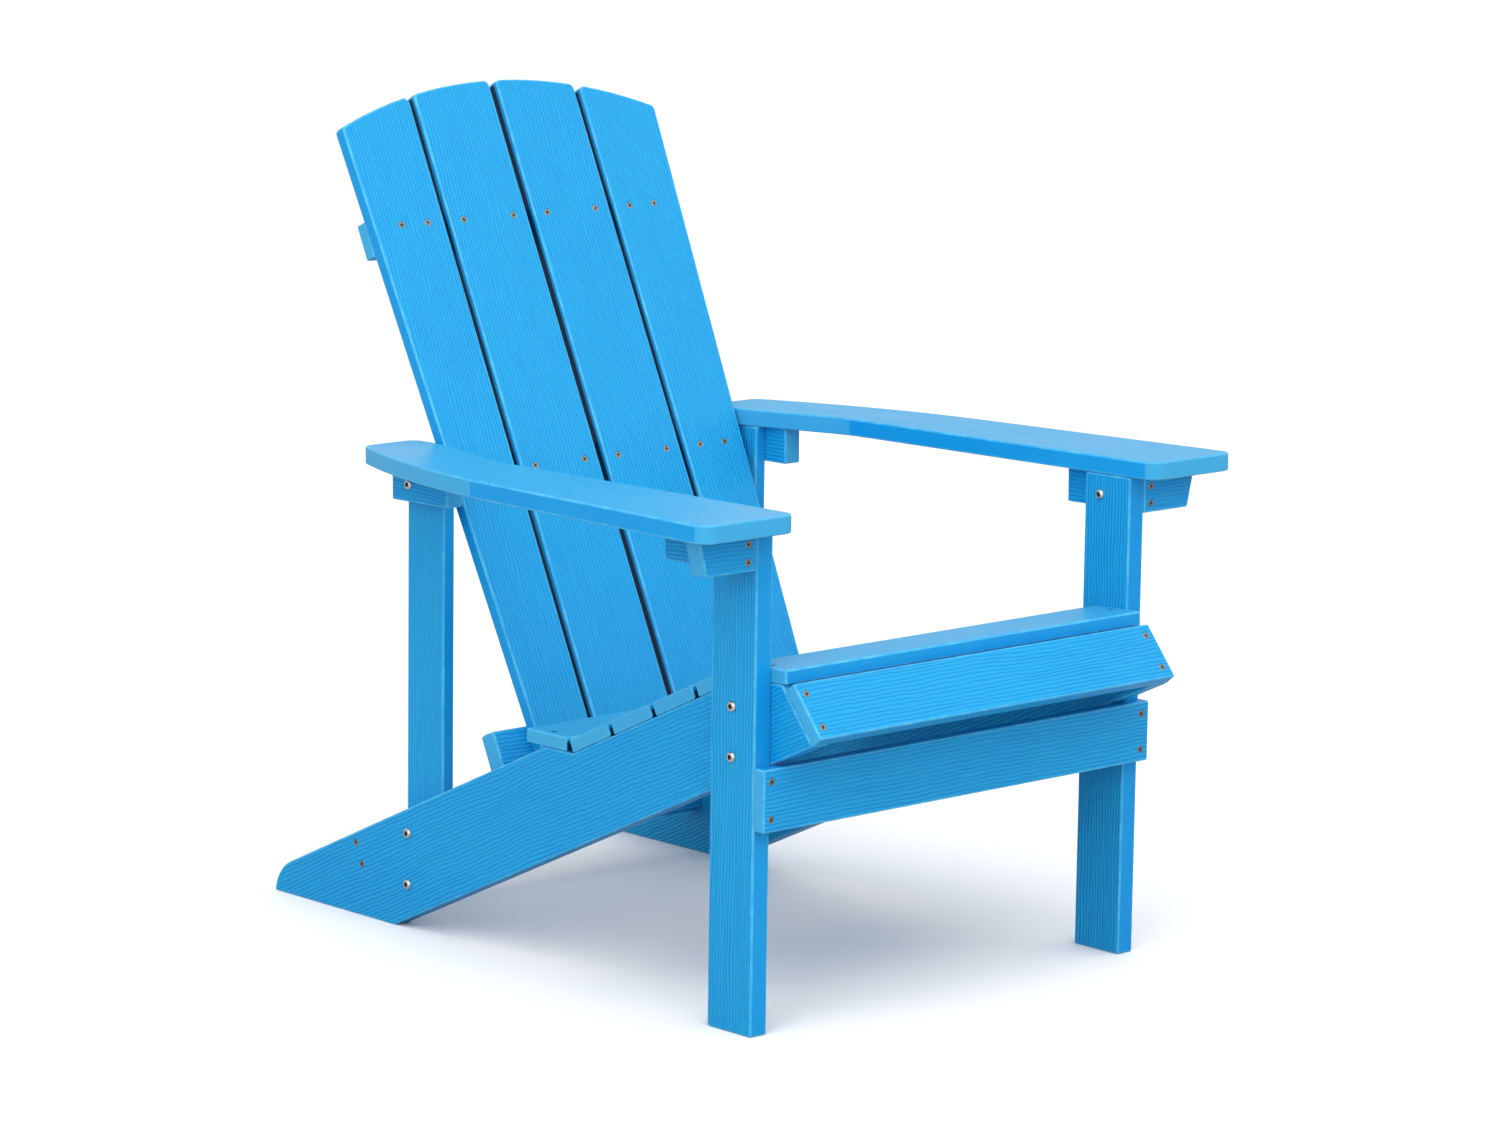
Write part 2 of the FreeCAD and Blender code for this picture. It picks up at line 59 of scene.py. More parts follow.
def makeCamera(setup):
    data = bpy.data.cameras.new("chairCamera")
    data.lens = setup["lens"]
    data.sensor_width = setup["sensorWidth"]
    data.clip_end = setup["clipEnd"]
    camera = bpy.data.objects.new("chairCamera", data)
    roll = Matrix.Rotation(math.radians(setup["roll"]), 4, "Z")
    camera.matrix_world = looking(setup["place"], setup["aim"]) @ roll
    bpy.context.scene.collection.objects.link(camera)
    bpy.context.scene.camera = camera


floorSetup = {
    "radius": 70.0,
    "sides": 96,
    "colour": (0.93, 0.93, 0.93, 1.0),
    "bounce": (0.52, 0.52, 0.52, 1.0),
    "roughness": 0.9,
    "specular": 0.1,
}


def makeFloor(setup):
    bm = bmesh.new()
    bmesh.ops.create_circle(bm, cap_ends=True, segments=setup["sides"], radius=setup["radius"])
    mesh = bpy.data.meshes.new("studioFloor")
    bm.to_mesh(mesh)
    bm.free()
    paint = bpy.data.materials.new("floorPaint")
    paint.use_nodes = True
    shader = paint.node_tree.nodes["Principled BSDF"]
    shader.inputs["Base Color"].default_value = setup["colour"]
    shader.inputs["Roughness"].default_value = setup["roughness"]
    shader.inputs["Specular IOR Level"].default_value = setup["specular"]
    # the floor looks pale but throws little light back up at the chair
    tree = paint.node_tree
    dim = tree.nodes.new("ShaderNodeBsdfDiffuse")
    dim.inputs["Color"].default_value = setup["bounce"]
    path = tree.nodes.new("ShaderNodeLightPath")
    choice = tree.nodes.new("ShaderNodeMixShader")
    tree.links.new(path.outputs["Is Camera Ray"], choice.inputs["Fac"])
    tree.links.new(dim.outputs["BSDF"], choice.inputs[1])
    tree.links.new(shader.outputs["BSDF"], choice.inputs[2])
    surface = tree.nodes["Material Output"].inputs["Surface"]
    tree.links.new(choice.outputs["Shader"], surface)
    mesh.materials.append(paint)
    studioFloor = bpy.data.objects.new("studioFloor", mesh)
    bpy.context.scene.collection.objects.link(studioFloor)


lightSetup = {
    "skyColour": (1.0, 1.0, 1.0, 1.0),
    "skyFront": 1.44,
    "skyBack": 0.85,
    "frontEnds": -0.6,
    "backStarts": 0.5,
    "lamps": {
        "topSoftbox": {
            "place": (-1.2, -1.6, 3.4), "aim": (0.0, 0.0, 0.4), "size": 3.2, "watts": 49.0,
        },
        "leftSoftbox": {
            "place": (-3.6, -1.2, 1.9), "aim": (0.0, 0.0, 0.4), "size": 2.4, "watts": 39.0,
        },
    },
}


def makeLight(setup):
    world = bpy.data.worlds.new("paleSky")
    world.use_nodes = True
    tree = world.node_tree
    background = tree.nodes["Background"]
    background.inputs["Color"].default_value = setup["skyColour"]
    # the room is brighter in front of the chair than behind it
    direction = tree.nodes.new("ShaderNodeTexCoord")
    parts = tree.nodes.new("ShaderNodeSeparateXYZ")
    strength = tree.nodes.new("ShaderNodeMapRange")
    fade = {
        "From Min": setup["frontEnds"], "From Max": setup["backStarts"],
        "To Min": setup["skyFront"], "To Max": setup["skyBack"],
    }
    for key, value in fade.items():
        strength.inputs[key].default_value = value
    tree.links.new(direction.outputs["Generated"], parts.inputs[0])
    tree.links.new(parts.outputs["Y"], strength.inputs["Value"])
    tree.links.new(strength.outputs["Result"], background.inputs["Strength"])
    bpy.context.scene.world = world
    for name, lamp in setup["lamps"].items():
        data = bpy.data.lights.new(name, "AREA")
        data.shape = "SQUARE"
        data.size = lamp["size"]
        data.energy = lamp["watts"]
        light = bpy.data.objects.new(name, data)
        light.matrix_world = looking(lamp["place"], lamp["aim"])
        bpy.context.scene.collection.objects.link(light)


makeCamera(cameraSetup)
makeFloor(floorSetup)
makeLight(lightSetup)
bpy.context.scene.view_settings.view_transform = "Standard"
print("camera, floor and light set")

# materials

lumberFinish = {
    "ridge": (0.010, 0.325, 0.635, 1.0),
    "groove": (0.001, 0.212, 0.600, 1.0),
    # rim colour: partly scuff wear, partly a painted highlight along the rounded edges
    "scuffAndHighlight": (0.090, 0.455, 0.700, 1.0),
    # pale colour of sawn ends, also laid on the wide faces of arms and seat slats as partly a
    # painted sheen
    "paleSawnAndSheen": (0.062, 0.365, 0.595, 1.0),
    # painted shade for the deep parts of the gaps between slats
    "paintedGapShade": (0.002, 0.016, 0.040, 1.0),
    "refraction": 1.49,
    "specular": 0.15,
    "grainPitch": 0.0042,
    "grainHeight": 0.0008,
    "sandSize": 0.0007,
    "sandHeight": 0.00006,
    # repeats per metre, along the board and then across it
    "driftScale": (7.0, 12.0, 12.0),
    "rippleScale": (48.0, 60.0, 60.0),
    "streakScale": (22.0, 420.0, 420.0),
    "fibreScale": (45.0, 1300.0, 1300.0),
    "blotchScale": (7.0, 16.0, 16.0),
    "wearScale": (60.0, 110.0, 110.0),
    "bandStretch": 6.0,
    "bandShape": {"Scale": 1.0, "Distortion": 3.2, "Detail": 2.0, "Detail Scale": 0.8},
    # from low and high, to low and high
    "driftRange": (0.0, 1.0, -0.006, 0.006),
    "rippleRange": (0.0, 1.0, -0.0009, 0.0009),
    "ridgeRange": (0.08, 0.62, 0.0, 1.0),
    "reliefRange": (0.35, 1.0, 0.0, 1.0),
    "wearRange": (0.40, 0.7, 0.35, 0.9),
    "speckleRange": (0.35, 0.65, 0.35, 0.9),
    "raggedRange": (0.3, 0.7, -0.06, 0.06),
    # how deep in the gap the painted shade starts and how dark it gets
    "gapShadeRange": (0.28, 0.43, 0.0, 0.96),
    "roughRange": (0.5, 1.1, 0.30, 0.46),
    # what each pattern adds to a sum, and where the sum starts
    "reliefShares": {"ridges": 0.5, "streaks": 0.6, "fibres": 0.25},
    "levelShares": {"start": 0.02, "relief": 0.95, "blotch": 0.35, "tone": 0.3},
    "flatShares": {"start": 0.05, "blotch": 0.5, "tone": 1.0},
    "roughShares": {"blotch": 1.0, "sand": 0.6},
}


class NodeBench:
    def __init__(self, material):
        material.use_nodes = True
        self.tree = material.node_tree
        self.shader = self.tree.nodes["Principled BSDF"]

    def put(self, kind, **values):
        made = self.tree.nodes.new(kind)
        for key, value in values.items():
            setattr(made, key, value)
        return made

    def join(self, source, target):
        self.tree.links.new(source, target)

    def mark(self, name):
        return self.put("ShaderNodeAttribute", attribute_name=name)

    def scaled(self, vector, scale):
        made = self.put("ShaderNodeMapping")
        made.inputs["Scale"].default_value = scale
        self.join(vector, made.inputs["Vector"])
        return made.outputs["Vector"]

    def noise(self, vector, detail, rough=0.5):
        made = self.put("ShaderNodeTexNoise")
        made.inputs["Scale"].default_value = 1.0
        made.inputs["Detail"].default_value = detail
        made.inputs["Roughness"].default_value = rough
        self.join(vector, made.inputs["Vector"])
        return made.outputs["Fac"]

    def ranged(self, source, low, high, newLow, newHigh):
        made = self.put("ShaderNodeMapRange")
        limits = {"From Min": low, "From Max": high, "To Min": newLow, "To Max": newHigh}
        for key, value in limits.items():
            made.inputs[key].default_value = value
        self.join(source, made.inputs["Value"])
        return made.outputs["Result"]

    def maths(self, operation, first, second):
        made = self.put("ShaderNodeMath", operation=operation)
        for socket, source in zip(made.inputs, (first, second)):
            if isinstance(source, (int, float)):
                socket.default_value = source
            else:
                self.join(source, socket)
        return made.outputs["Value"]

    def summed(self, shares, patterns):
        total = shares.get("start", 0.0)
        for name, pattern in patterns.items():
            total = self.maths("ADD", total, self.maths("MULTIPLY", pattern, shares[name]))
        return total

    def mixed(self, factor, first, second):
        made = self.put("ShaderNodeMix", data_type="RGBA")
        self.join(factor, made.inputs["Factor"])
        for socket, source in zip((made.inputs["A"], made.inputs["B"]), (first, second)):
            if isinstance(source, tuple):
                socket.default_value = source
            else:
                self.join(source, socket)
        return made.outputs["Result"]

    def bumped(self, height, distance, below=None):
        made = self.put("ShaderNodeBump")
        made.inputs["Distance"].default_value = distance
        self.join(height, made.inputs["Height"])
        if below is not None:
            self.join(below, made.inputs["Normal"])
        return made.outputs["Normal"]


def makeLumber(finish):
    material = bpy.data.materials.new("bluePolyLumber")
    bench = NodeBench(material)
    along = bench.mark("alongBoard").outputs["Vector"]
    side = bench.put("ShaderNodeSeparateXYZ")
    bench.join(bench.mark("boardSide").outputs["Vector"], side.inputs[0])
    wide, rim, tone = side.outputs

    # a slow drift across the board makes the grain lines wander
    drift = bench.noise(bench.scaled(along, finish["driftScale"]), 2.0)
    ripple = bench.noise(bench.scaled(along, finish["rippleScale"]), 1.0)
    shift = bench.maths("ADD", bench.ranged(drift, *finish["driftRange"]),
                        bench.ranged(ripple, *finish["rippleRange"]))
    push = bench.put("ShaderNodeCombineXYZ")
    bench.join(shift, push.inputs["Y"])
    moved = bench.put("ShaderNodeVectorMath", operation="ADD")
    bench.join(along, moved.inputs[0])
    bench.join(push.outputs[0], moved.inputs[1])
    wandering = moved.outputs["Vector"]

    # at scale one the wave texture's bands lie 2 pi / 20 apart
    bandScale = 2 * math.pi / 20 / finish["grainPitch"]
    bandStretch = (finish["bandStretch"], bandScale, bandScale)
    bands = bench.put("ShaderNodeTexWave", wave_type="BANDS", bands_direction="Y",
                      wave_profile="SIN")
    for key, value in finish["bandShape"].items():
        bands.inputs[key].default_value = value
    bench.join(bench.scaled(wandering, bandStretch), bands.inputs["Vector"])
    relief = bench.summed(finish["reliefShares"], {
        "ridges": bench.ranged(bands.outputs["Fac"], *finish["ridgeRange"]),
        "streaks": bench.noise(bench.scaled(wandering, finish["streakScale"]), 3.0, 0.6),
        "fibres": bench.noise(bench.scaled(wandering, finish["fibreScale"]), 2.0),
    })
    relief = bench.ranged(relief, *finish["reliefRange"])
    sandScale = (1 / finish["sandSize"],) * 3
    sand = bench.noise(bench.scaled(along, sandScale), 2.0)
    blotch = bench.noise(bench.scaled(along, finish["blotchScale"]), 3.0)

    # pressed faces follow the grain, the other faces only the blotches and the board's tone
    pressed = bench.summed(finish["levelShares"],
                           {"relief": relief, "blotch": blotch, "tone": tone})
    plain = bench.summed(finish["flatShares"], {"blotch": blotch, "tone": tone})
    level = bench.put("ShaderNodeMix", data_type="FLOAT")
    bench.join(wide, level.inputs["Factor"])
    bench.join(plain, level.inputs["A"])
    bench.join(pressed, level.inputs["B"])
    colour = bench.mixed(level.outputs["Result"], finish["groove"], finish["ridge"])
    # rims are lighter in spots: partly scuffed wear, partly a painted highlight along the
    # rounded edges
    wear = bench.noise(bench.scaled(along, finish["wearScale"]), 3.0)
    rimScuffAndHighlight = bench.maths("MULTIPLY", rim, bench.ranged(wear, *finish["wearRange"]))
    colour = bench.mixed(rimScuffAndHighlight, colour, finish["scuffAndHighlight"])
    # sawn ends are paler, with a speckle; the wide faces of arms and seat slats take some of
    # this pale colour too, partly a sanded finish and partly a painted sheen on the tops
    sawnAndSheenFactor = bench.mark("sawnAndSheenMask").outputs["Fac"]
    speckle = bench.ranged(sand, *finish["speckleRange"])
    colour = bench.mixed(bench.maths("MULTIPLY", sawnAndSheenFactor, speckle), colour, finish["paleSawnAndSheen"])
    # painted shade: the colour darkens deep in the narrow gaps between slats, where shade
    # falls
    gap = bench.mark("gapDepth").outputs["Fac"]
    ragged = bench.maths("ADD", gap, bench.ranged(blotch, *finish["raggedRange"]))
    gapShadeMix = bench.ranged(ragged, *finish["gapShadeRange"])
    colour = bench.mixed(gapShadeMix, colour, finish["paintedGapShade"])
    bench.join(colour, bench.shader.inputs["Base Color"])

    rough = bench.summed(finish["roughShares"], {"blotch": blotch, "sand": sand})
    rough = bench.ranged(rough, *finish["roughRange"])
    bench.join(rough, bench.shader.inputs["Roughness"])
    bench.shader.inputs["IOR"].default_value = finish["refraction"]
    bench.shader.inputs["Specular IOR Level"].default_value = finish["specular"]

    grain = bench.maths("MULTIPLY", relief, wide)
    sandy = bench.bumped(sand, finish["sandHeight"])
    grainy = bench.bumped(grain, finish["grainHeight"], sandy)
    bench.join(grainy, bench.shader.inputs["Normal"])
    return material


screwFinish = {
    "bright": (0.44, 0.42, 0.35, 1.0),
    "dull": (0.13, 0.125, 0.10, 1.0),
    "roughRange": (0.3, 0.7, 0.16, 0.36),
}
steelFinish = {
    "bright": (0.66, 0.65, 0.62, 1.0),
    "dull": (0.42, 0.41, 0.38, 1.0),
    "roughRange": (0.3, 0.7, 0.20, 0.42),
}
brushing = {
    "scale": (900.0, 900.0, 2600.0),
    "height": 0.00003,
    "stainScale": (160.0, 160.0, 160.0),
}


def makeSteel(name, finish):
    material = bpy.data.materials.new(name)
    bench = NodeBench(material)
    place = bench.put("ShaderNodeTexCoord").outputs["Object"]
    brushed = bench.noise(bench.scaled(place, brushing["scale"]), 3.0)
    stained = bench.noise(bench.scaled(place, brushing["stainScale"]), 2.0)
    colour = bench.mixed(stained, finish["bright"], finish["dull"])
    bench.join(colour, bench.shader.inputs["Base Color"])
    rough = bench.ranged(brushed, *finish["roughRange"])
    bench.join(rough, bench.shader.inputs["Roughness"])
    bench.shader.inputs["Metallic"].default_value = 1.0
    bench.join(bench.bumped(brushed, brushing["height"]), bench.shader.inputs["Normal"])
    return material


# painted shade: the socket recesses of the heads get a dark colour where shade falls, lighter
# in spots
recessPaintedShade = {
    "dark": (0.030, 0.028, 0.024, 1.0),
    "lighterShade": (0.16, 0.15, 0.13, 1.0),
    "metallic": 0.6,
    "shadeMottleScale": (700.0, 700.0, 700.0),
    "wearRange": (0.45, 0.75, 0.0, 1.0),
    "roughRange": (0.3, 0.7, 0.45, 0.7),
}


def makeRecess(finish):
    material = bpy.data.materials.new("socketPaintedShade")
    bench = NodeBench(material)
    place = bench.put("ShaderNodeTexCoord").outputs["Object"]
    shadeMottle = bench.noise(bench.scaled(place, finish["shadeMottleScale"]), 3.0)
    lighterShade = bench.ranged(shadeMottle, *finish["wearRange"])
    # painted shade in the recess, patchy in spots
    colour = bench.mixed(lighterShade, finish["dark"], finish["lighterShade"])
    bench.join(colour, bench.shader.inputs["Base Color"])
    rough = bench.ranged(shadeMottle, *finish["roughRange"])
    bench.join(rough, bench.shader.inputs["Roughness"])
    bench.shader.inputs["Metallic"].default_value = finish["metallic"]
    return material


lumber = makeLumber(lumberFinish)
steel = makeSteel("stainlessSteel", steelFinish)
screwSteel = makeSteel("screwSteel", screwFinish)
recess = makeRecess(recessPaintedShade)
print("materials made")

# boards: each has a grain direction, a wide face and how deep the grain is pressed;
# the sanded share makes the wide faces paler, partly a sanded finish and partly a painted
# sheen on the tops, and "cut" says how far a face may turn and still be sawn

chairAngles = {"seat": 25.0, "back": 25.6, "apron": 39.3}


def risingForward(degrees):
    angle = math.radians(degrees)
    return Vector((0.0, -math.cos(angle), math.sin(angle)))


seatLine = risingForward(chairAngles["seat"])
backFace = risingForward(chairAngles["back"])
backLine = risingForward(chairAngles["back"] + 90.0)
apronFace = risingForward(chairAngles["apron"])
across = Vector((1.0, 0.0, 0.0))
forward = Vector((0.0, -1.0, 0.0))
upward = Vector((0.0, 0.0, 1.0))

boardFamilies = {
    "front_leg": {"along": upward, "face": across, "depth": 1.0},
    "rear_post": {"along": upward, "face": across, "depth": 0.8},
    "side_rail": {"along": seatLine, "face": across, "depth": 0.8},
    "arm": {"along": forward, "face": upward, "depth": 0.12, "sandedAndSheen": 0.9, "cut": 0.12},
    "side_block": {"along": forward, "face": across, "depth": 0.7},
    "front_bracket": {"along": across, "face": forward, "depth": 0.5},
    "rear_bracket": {"along": forward, "face": across, "depth": 0.7},
    "seat_slat": {"along": across, "face": upward, "depth": 0.35, "sandedAndSheen": 0.9},
    "apron": {"along": across, "face": apronFace, "depth": 0.75},
    "front_stretcher": {"along": across, "face": forward, "depth": 0.75},
    "rear_stretcher": {"along": across, "face": seatLine, "depth": 0.75},
    "back_slat": {"along": backLine, "face": backFace, "depth": 0.9},
    "back_lower_rail": {"along": across, "face": backFace, "depth": 0.7},
    "back_arm_rail": {"along": across, "face": backFace, "depth": 0.7},
    "back_batten": {"along": across, "face": backFace, "depth": 0.7},
}
boardMaking = {
    "merge": 0.00001,
    "flat": 1.0,
    "corner": 30.0,
    "smallestOutline": 0.03,
    "round": 0.0021,
    "roundSteps": 3,
    "wideLimit": 0.9,
    "sawnLimit": 0.75,
    "seed": 11,
    "grainOffset": 9,
    "toneReach": 0.5,
}
# the sides of these slats that look into a gap, along the slat's width; they get painted shade
# deeper in the gap
gapSides = {
    "back_slat_1": (1,), "back_slat_2": (-1, 1), "back_slat_3": (-1, 1), "back_slat_4": (-1,),
    "seat_slat_1": (1,), "seat_slat_2": (-1, 1), "seat_slat_3": (-1, 1),
    "seat_slat_4": (-1, 1), "seat_slat_5": (-1, 1), "seat_slat_6": (-1,),
}
# the seat slats that lie at another slope than the rest
seatTilts = {"seat_slat_1": 0.0, "seat_slat_6": 2.4}
dice = random.Random(boardMaking["seed"])


def familyOf(name):
    return max((key for key in boardFamilies if name.startswith(key)), key=len)


def sharpGroups(bm, limit):
    sharp = [edge for edge in bm.edges if edge.is_manifold and edge.calc_face_angle() > limit]
    waiting = set(sharp)
    groups = []
    for first in sharp:
        if first not in waiting:
            continue
        waiting.remove(first)
        group = [first]
        for edge in group:
            near = [other for vert in edge.verts for other in vert.link_edges]
            for other in near:
                if other in waiting:
                    waiting.remove(other)
                    group.append(other)
        groups.append(group)
    return groups


def reach(edges):
    places = [vert.co for edge in edges for vert in edge.verts]
    spans = []
    for axis in range(3):
        values = [place[axis] for place in places]
        spans.append(max(values) - min(values))
    return max(spans)


def makeBoard(name, making):
    family = boardFamilies[familyOf(name)]
    along, face = family["along"], family["face"]
    if name.startswith("seat_slat"):
        tilt = math.radians(seatTilts.get(name, chairAngles["seat"]))
        face = Vector((0.0, math.sin(tilt), math.cos(tilt)))
    bm = bmesh.new()
    bm.from_mesh(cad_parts[name].data)
    bmesh.ops.remove_doubles(bm, verts=bm.verts, dist=making["merge"])
    bmesh.ops.dissolve_limit(bm, angle_limit=math.radians(making["flat"]),
                             verts=bm.verts, edges=bm.edges)
    corner = math.radians(making["corner"])
    outline = []
    for group in sharpGroups(bm, corner):
        if reach(group) > making["smallestOutline"]:
            outline += group
    rounded = bmesh.ops.bevel(bm, geom=outline, offset=making["round"],
                              offset_type="OFFSET", affect="EDGES",
                              segments=making["roundSteps"], profile=0.5,
                              material=-1, clamp_overlap=False)
    rims = set(rounded["faces"])
    for piece in bm.faces:
        piece.smooth = True
    for edge in bm.edges:
        edge.smooth = not (edge.is_manifold and edge.calc_face_angle() > corner)
    grainPlace = bm.verts.layers.float_vector.new("alongBoard")
    grainSide = bm.loops.layers.float_vector.new("boardSide")
    gapDepth = bm.loops.layers.float.new("gapDepth")
    sawnAndSheenMask = bm.loops.layers.float.new("sawnAndSheenMask")
    offset = Vector([dice.uniform(0, making["grainOffset"]) for axis in range(3)])
    tone = dice.uniform(0.0, making["toneReach"])
    width = face.cross(along)
    for vert in bm.verts:
        place = vert.co
        vert[grainPlace] = Vector([place.dot(axis) for axis in (along, width, face)]) + offset
    gapAxis = across if name.startswith("back_slat") else forward
    heights = [vert.co.dot(face) for vert in bm.verts]
    top, thickness = max(heights), max(heights) - min(heights)
    for piece in bm.faces:
        wide, paleSawnAndSheen = 0.0, 0.0
        if abs(piece.normal.dot(along)) > family.get("cut", making["sawnLimit"]):
            paleSawnAndSheen = 1.0
        elif piece not in rims and abs(piece.normal.dot(face)) > making["wideLimit"]:
            # the wide faces of arms and seat slats take some pale colour too: partly a sanded
            # finish, partly a painted sheen on the tops
            wide, paleSawnAndSheen = family["depth"], family.get("sandedAndSheen", 0.0)
        sideways = piece.normal.dot(gapAxis)
        inGap = any(side * sideways > making["wideLimit"] for side in gapSides.get(name, ()))
        for loop in piece.loops:
            loop[sawnAndSheenMask] = paleSawnAndSheen
            loop[grainSide] = Vector((wide, 1.0 if piece in rims else 0.0, tone))
            # how deep this point lies in the gap, which sets the painted gap shade
            if inGap:
                loop[gapDepth] = (top - loop.vert.co.dot(face)) / thickness
    mesh = bpy.data.meshes.new(name + "_board")
    bm.to_mesh(mesh)
    bm.free()
    mesh.materials.append(lumber)
    board = bpy.data.objects.new(name + "_board", mesh)
    bpy.context.scene.collection.objects.link(board)
    weighted = board.modifiers.new("flatFaces", "WEIGHTED_NORMAL")
    weighted.keep_sharp = True
    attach(board, "root")
    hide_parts(name)


# fasteners: rings of points, from the middle of the head's recess down to the shank's tip

fastenerNodes = {
    "leg_bolts": {"kind": "bolt", "towards": (-1, 0, 0)},
    "leg_bolt_nuts": {"kind": "nut", "towards": (1, 0, 0)},
    "post_bolts": {"kind": "bolt", "towards": (-1, 0, 0)},
    "post_bolt_nuts": {"kind": "nut", "towards": (1, 0, 0)},
    "rear_bracket_bolts": {"kind": "bolt", "towards": (-1, 0, 0)},
    "side_block_bolts": {"kind": "bolt", "towards": (1, 0, 0)},
    "arm_screws": {"kind": "screw", "towards": (0, 0, 1)},
    "front_bracket_screws": {"kind": "screw", "towards": (0, 1, 0)},
    "seat_slat_screws": {"kind": "screw", "towards": (0, 0, -1)},
    "apron_screws": {"kind": "screw", "towards": tuple(-apronFace)},
    "front_stretcher_screws": {"kind": "screw", "towards": (0, 1, 0)},
    "rear_stretcher_screws": {"kind": "screw", "towards": (-1, 0, 0)},
    "back_slat_screws_upper": {"kind": "screw", "towards": tuple(-backFace)},
    "back_slat_screws_middle": {"kind": "screw", "towards": tuple(-backFace)},
    "back_slat_screws_lower": {"kind": "screw", "towards": tuple(-backFace)},
    "lower_rail_screws": {"kind": "screw", "towards": tuple(-backLine)},
}
# each ring: shape, size and height in millimetres, with the head's seat at zero
headRings = {
    "bolt": {
        "recess": [("hexagon", 1.6, 0.7), ("hexagon", 2.45, 0.8), ("hexagon", 2.45, 2.75)],
        "body": [
            ("round", 3.1, 3.0), ("round", 4.2, 2.7), ("round", 5.1, 1.9),
            ("round", 5.7, 0.85), ("round", 5.75, 0.3), ("round", 5.45, 0.0),
            ("round", 3.0, 0.0),
        ],
        "tip": {"shank": 3.0, "end": 2.4, "long": 0.6},
    },
    "screw": {
        "recess": [("cross", 0.9, -2.2), ("cross", 2.1, -1.5), ("cross", 2.7, -0.54)],
        "body": [
            ("round", 3.1, -0.50), ("round", 3.65, -0.54), ("round", 3.85, -0.75),
            ("round", 2.1, -2.6),
        ],
        "tip": {"shank": 2.1, "end": 0.3, "long": 4.2},
    },
    "nut": {
        "recess": [],
        "body": [
            ("round", 1.6, 9.55), ("round", 3.2, 8.7), ("round", 4.3, 7.4),
            ("round", 4.75, 5.9), ("round", 4.8, 5.3), ("hexagon", 4.75, 4.75),
            ("hexagon", 5.0, 4.3), ("hexagon", 5.0, 0.5), ("round", 4.8, 0.0),
        ],
        "tip": None,
    },
}
fastenerMaking = {
    "boltHead": 0.003,
    "crossArm": (0, 1, 5),
    "crossWaist": 0.42,
    "millimetre": 0.001,
    "smooth": 38.0,
    "sortDigits": 4,
}
ringPoints = 24
ringTurn = 2 * math.pi / ringPoints


def ringReach(shape, size, index):
    if shape == "hexagon":
        return size / math.cos((index * ringTurn) % (math.pi / 3) - math.pi / 6)
    if shape == "cross" and index % (ringPoints // 4) not in fastenerMaking["crossArm"]:
        return size * fastenerMaking["crossWaist"]
    return size


def addRings(bm, rings, start, material):
    edges = start
    for shape, size, height in rings:
        if edges is None:
            made = bmesh.ops.create_circle(bm, cap_ends=True, segments=ringPoints,
                                           radius=1.0)["verts"]
            for piece in bm.faces:
                piece.material_index = material
            edges = list(bm.edges)
        else:
            around = {vert for edge in edges for vert in edge.verts}
            grown = bmesh.ops.extrude_edge_only(bm, edges=edges)["geom"]
            for piece in grown:
                if isinstance(piece, bmesh.types.BMFace):
                    piece.material_index = material
                    piece.smooth = True
            edges = [piece for piece in grown if isinstance(piece, bmesh.types.BMEdge)
                     and not any(vert in around for vert in piece.verts)]
            made = [piece for piece in grown if isinstance(piece, bmesh.types.BMVert)]
        for vert in made:
            index = round(math.atan2(vert.co.y, vert.co.x) / ringTurn) % ringPoints
            out = ringReach(shape, size, index)
            angle = index * ringTurn
            vert.co = Vector((out * math.cos(angle), out * math.sin(angle), height))
    return edges


def makeFastener(kind, length):
    bm = bmesh.new()
    shape = headRings[kind]
    edges = None
    if shape["recess"]:
        # the recess faces take the second material, which carries the painted recess shade
        edges = addRings(bm, shape["recess"], None, 1)
    body, tip = list(shape["body"]), shape["tip"]
    if tip:
        body += [("round", tip["shank"], tip["long"] - length), ("round", tip["end"], -length)]
    edges = addRings(bm, body, edges, 0)
    bmesh.ops.holes_fill(bm, edges=edges, sides=ringPoints)
    bmesh.ops.recalc_face_normals(bm, faces=bm.faces)
    bmesh.ops.scale(bm, vec=(fastenerMaking["millimetre"],) * 3, verts=bm.verts)
    limit = math.radians(fastenerMaking["smooth"])
    for edge in bm.edges:
        edge.smooth = edge.is_manifold and edge.calc_face_angle() < limit
    mesh = bpy.data.meshes.new(kind)
    bm.to_mesh(mesh)
    bm.free()
    return mesh


def leastPoint(points):
    digits = fastenerMaking["sortDigits"]
    return min(tuple(round(value, digits) for value in point) for point in points)


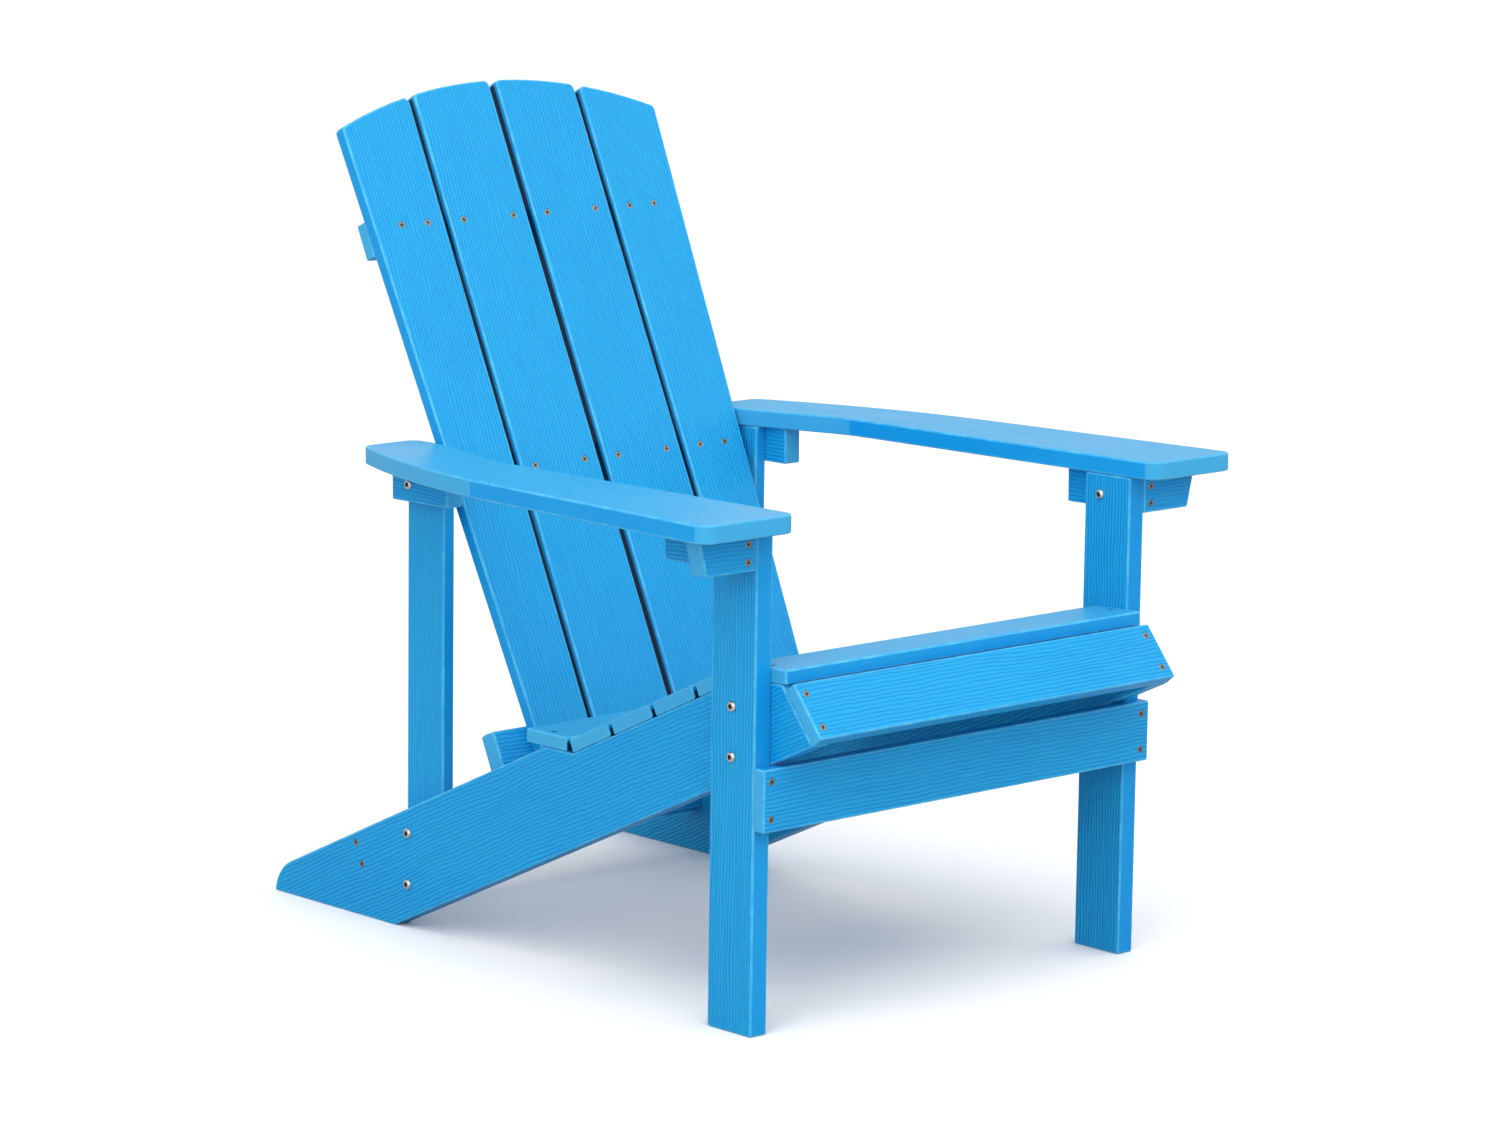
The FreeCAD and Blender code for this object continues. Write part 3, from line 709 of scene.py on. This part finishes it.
def solidsOf(node):
    bm = bmesh.new()
    bm.from_mesh(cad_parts[node].data)
    bmesh.ops.remove_doubles(bm, verts=bm.verts, dist=boardMaking["merge"])
    waiting = set(bm.verts)
    solids = []
    for first in bm.verts:
        if first not in waiting:
            continue
        waiting.remove(first)
        solid = [first]
        for vert in solid:
            for edge in vert.link_edges:
                other = edge.other_vert(vert)
                if other in waiting:
                    waiting.remove(other)
                    solid.append(other)
        solids.append([vert.co.copy() for vert in solid])
    bm.free()
    return sorted(solids, key=leastPoint)


def measure(points, kind, towards):
    side = 1.0 if sum(point.x for point in points) > 0 else -1.0
    down = Vector((side * towards[0], towards[1], towards[2])).normalized()
    turn = down.to_track_quat("-Z", "Y").to_matrix()
    local = [turn.inverted() @ point for point in points]
    low = [min(point[axis] for point in local) for axis in range(3)]
    high = [max(point[axis] for point in local) for axis in range(3)]
    seats = {"bolt": high[2] - fastenerMaking["boltHead"], "screw": high[2], "nut": low[2]}
    seat = seats[kind]
    centre = turn @ Vector(((low[0] + high[0]) / 2, (low[1] + high[1]) / 2, seat))
    return Matrix.Translation(centre) @ turn.to_4x4(), seat - low[2]


def makeFasteners(node, setup):
    kind = setup["kind"]
    bm = bmesh.new()
    for points in solidsOf(node):
        place, length = measure(points, kind, setup["towards"])
        mesh = makeFastener(kind, length / fastenerMaking["millimetre"])
        mesh.transform(place @ Matrix.Rotation(dice.uniform(0, math.pi), 4, "Z"))
        bm.from_mesh(mesh)
        bpy.data.meshes.remove(mesh)
    mesh = bpy.data.meshes.new(node + "_detailed")
    bm.to_mesh(mesh)
    bm.free()
    mesh.materials.append(screwSteel if kind == "screw" else steel)
    mesh.materials.append(recess)
    piece = bpy.data.objects.new(node + "_detailed", mesh)
    bpy.context.scene.collection.objects.link(piece)
    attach(piece, "root")
    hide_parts(node)


boardNames = sorted(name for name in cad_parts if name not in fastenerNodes)
for boardName in boardNames:
    makeBoard(boardName, boardMaking)
print("boards made:", len(boardNames))
for fastenerNode, fastenerSetup in fastenerNodes.items():
    makeFasteners(fastenerNode, fastenerSetup)
print("fastener groups made:", len(fastenerNodes))
